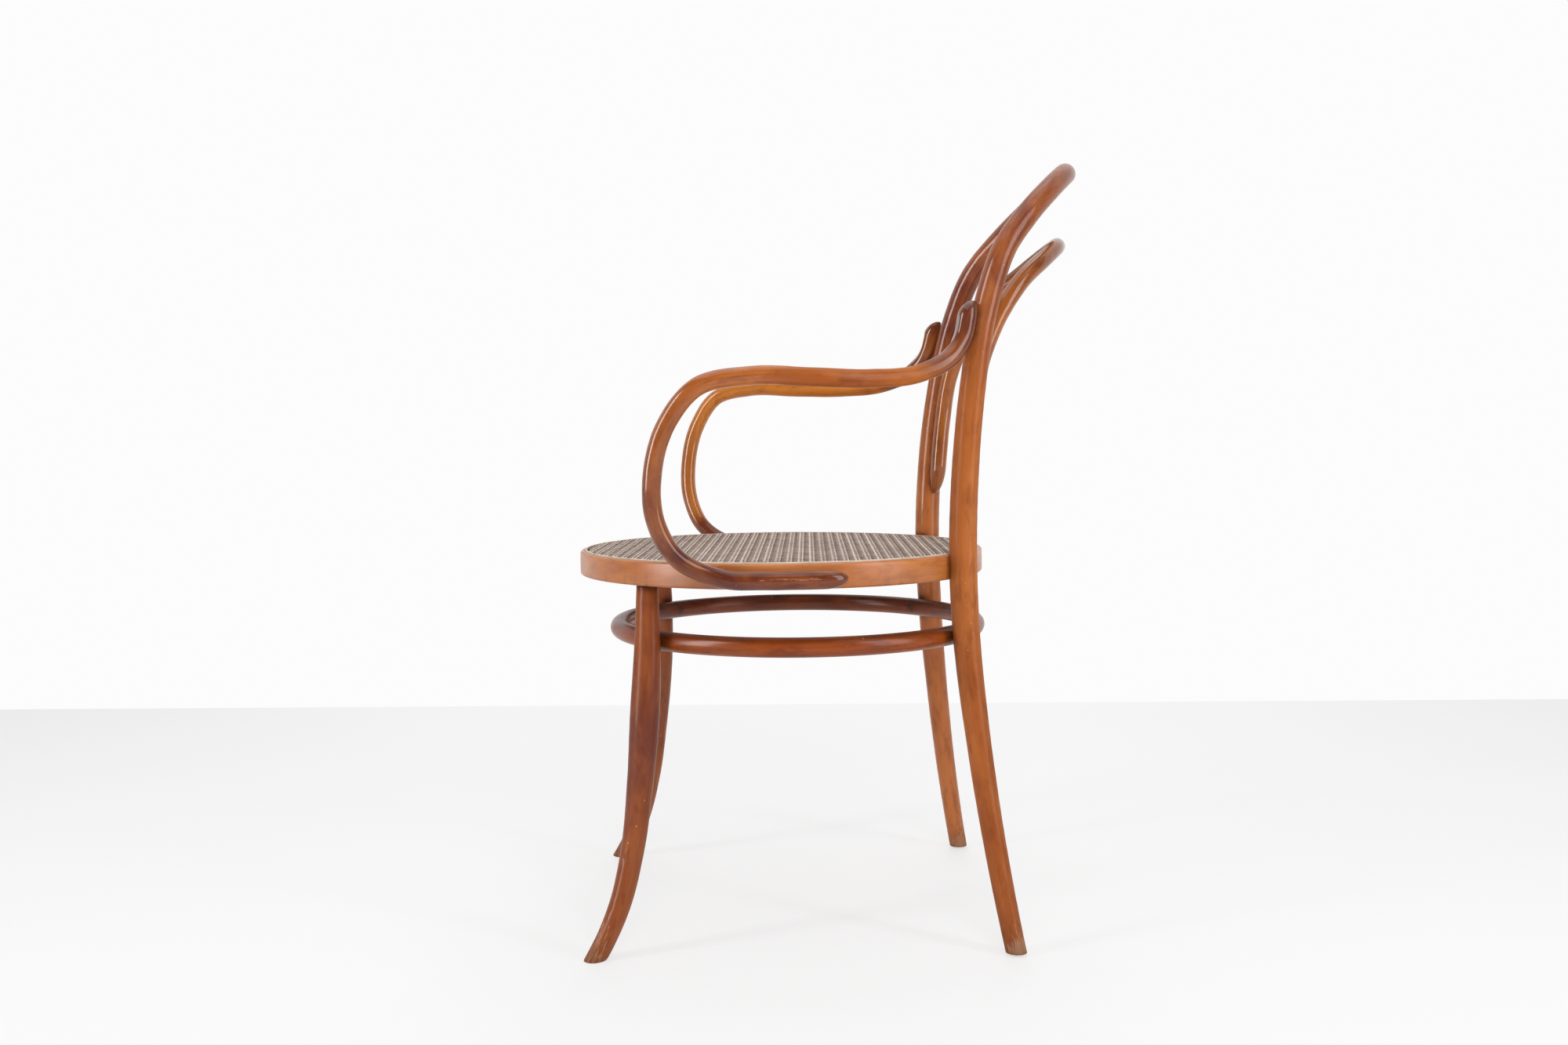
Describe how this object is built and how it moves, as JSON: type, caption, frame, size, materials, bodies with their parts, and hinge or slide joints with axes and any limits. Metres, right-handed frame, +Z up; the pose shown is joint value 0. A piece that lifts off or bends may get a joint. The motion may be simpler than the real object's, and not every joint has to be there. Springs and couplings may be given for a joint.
{
  "type": "bentwood armchair",
  "caption": "Bentwood armchair with a hooped back, looped arms, a round cane seat and a ring stretcher inside the legs.",
  "frame": {"origin": "on the floor, under the middle of the chair's outline in plan", "axes": "+Z up, -Y towards the front of the seat, +X to the sitter's left"},
  "size_m": [0.5996, 0.6326, 0.9407],
  "materials": {
    "rod_wood": "aged glossy varnish",
    "ring_wood": "satin varnish",
    "cane": "greyed natural cane",
    "binding_cane": "stained cane",
    "dark_steel": "aged dark steel",
    "dowel_wood": "bare wood"
  },
  "bodies": {
    "root": {"back_frame": "rod_wood", "inner_hoop": "rod_wood", "front_leg_left": "rod_wood", "front_leg_right": "rod_wood", "stretcher_ring": "rod_wood", "arm_left": "rod_wood", "arm_right": "rod_wood", "bolt_plug_left": "rod_wood", "bolt_plug_right": "rod_wood", "seat_ring": "ring_wood", "cane_seat": "cane", "cane_edge": "cane", "cane_binding": "binding_cane", "back_bolt_left": "dark_steel", "back_bolt_right": "dark_steel", "back_washer_left": "dark_steel", "back_washer_right": "dark_steel", "back_nut_left": "dark_steel", "back_nut_right": "dark_steel", "arm_top_screw_left": "dark_steel", "arm_top_screw_right": "dark_steel", "arm_seat_screws_left": "dark_steel", "arm_seat_screws_right": "dark_steel", "stretcher_screw_front_left": "dark_steel", "stretcher_screw_front_right": "dark_steel", "stretcher_screw_rear_left": "dark_steel", "stretcher_screw_rear_right": "dark_steel", "hoop_dowels_left": "dowel_wood", "hoop_dowels_right": "dowel_wood"}
  },
  "joints": []
}
